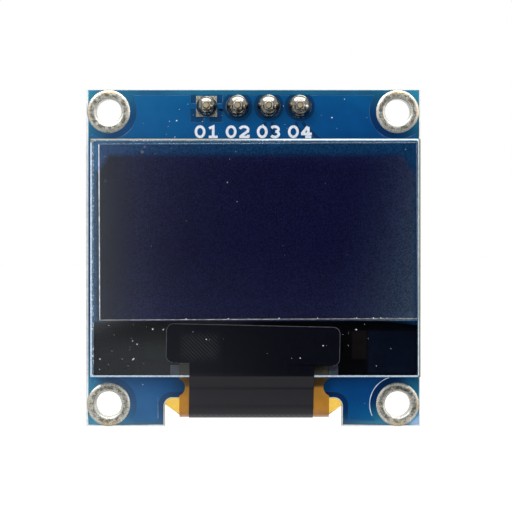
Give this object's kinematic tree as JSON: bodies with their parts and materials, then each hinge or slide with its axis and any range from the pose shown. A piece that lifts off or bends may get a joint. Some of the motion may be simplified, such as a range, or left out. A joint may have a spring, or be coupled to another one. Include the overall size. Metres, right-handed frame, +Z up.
{
  "type": "small oled display module",
  "caption": "Small OLED display module: glass panel on a square blue board with corner mounting holes, folded flex cable and pin header.",
  "frame": {"origin": "centre of the four mounting holes, on the rear face of the circuit board", "axes": "-Y is the way the display faces, +Y is the way the header pins point, +Z is up towards the header row, and +X is to the right seen from the front"},
  "size_m": [0.0274, 0.0116, 0.0274],
  "materials": {
    "board": "blue solder mask over glass-fibre board, semi-gloss",
    "plating": "dull tinned copper plating",
    "pins": "plated square pins",
    "solder": "bright solder",
    "housing": "moulded black plastic",
    "glass": "polished clear glass with bevelled front edges",
    "rear_glass": "clear rear glass of the display cell",
    "drying_sheet": "matte grey sheet",
    "seal": "cured clear adhesive",
    "pixels": "dark blue-violet film",
    "foam": "black adhesive foam",
    "polarizer": "smooth dark film, slightly see-through",
    "silicon": "lapped silicon",
    "shield": "smooth black tape",
    "flex": "amber polyimide film over copper",
    "resistor": "black coated ceramic with tinned ends",
    "capacitor": "tan ceramic with tinned ends",
    "moulding": "moulded dark epoxy",
    "legs": "tinned legs"
  },
  "bodies": {
    "root": {"circuit_board": "board", "mounting_ring_1": "plating", "mounting_ring_2": "plating", "mounting_ring_3": "plating", "mounting_ring_4": "plating", "pin_pad_1": "plating", "pin_pad_2": "plating", "pin_pad_3": "plating", "pin_pad_4": "plating", "header_pin_1": "pins", "header_pin_2": "pins", "header_pin_3": "pins", "header_pin_4": "pins", "pin_solder_1": "solder", "pin_solder_2": "solder", "pin_solder_3": "solder", "pin_solder_4": "solder", "header_housing": "housing", "display_glass": "glass", "cap_glass": "rear_glass", "drying_sheet": "drying_sheet", "cell_seal": "seal", "pixel_layer": "pixels", "mounting_tape": "foam", "polarizer": "polarizer", "driver_chip": "silicon", "bond_bead": "seal", "ledge_foam": "foam", "flex_cable": "flex", "bond_film": "seal", "joint_pads": "plating", "flex_solder": "solder", "shield_tape": "shield", "resistor_1": "resistor", "resistor_2": "resistor", "resistor_3": "resistor", "resistor_4": "resistor", "resistor_5": "resistor", "resistor_6": "resistor", "resistor_7": "resistor", "capacitor_1": "capacitor", "capacitor_2": "capacitor", "capacitor_3": "capacitor", "capacitor_4": "capacitor", "capacitor_5": "capacitor", "capacitor_6": "capacitor", "capacitor_7": "capacitor", "capacitor_8": "capacitor", "capacitor_9": "capacitor", "component_pads": "plating", "component_solder": "solder", "regulator_body": "moulding", "regulator_legs": "legs"}
  },
  "joints": []
}
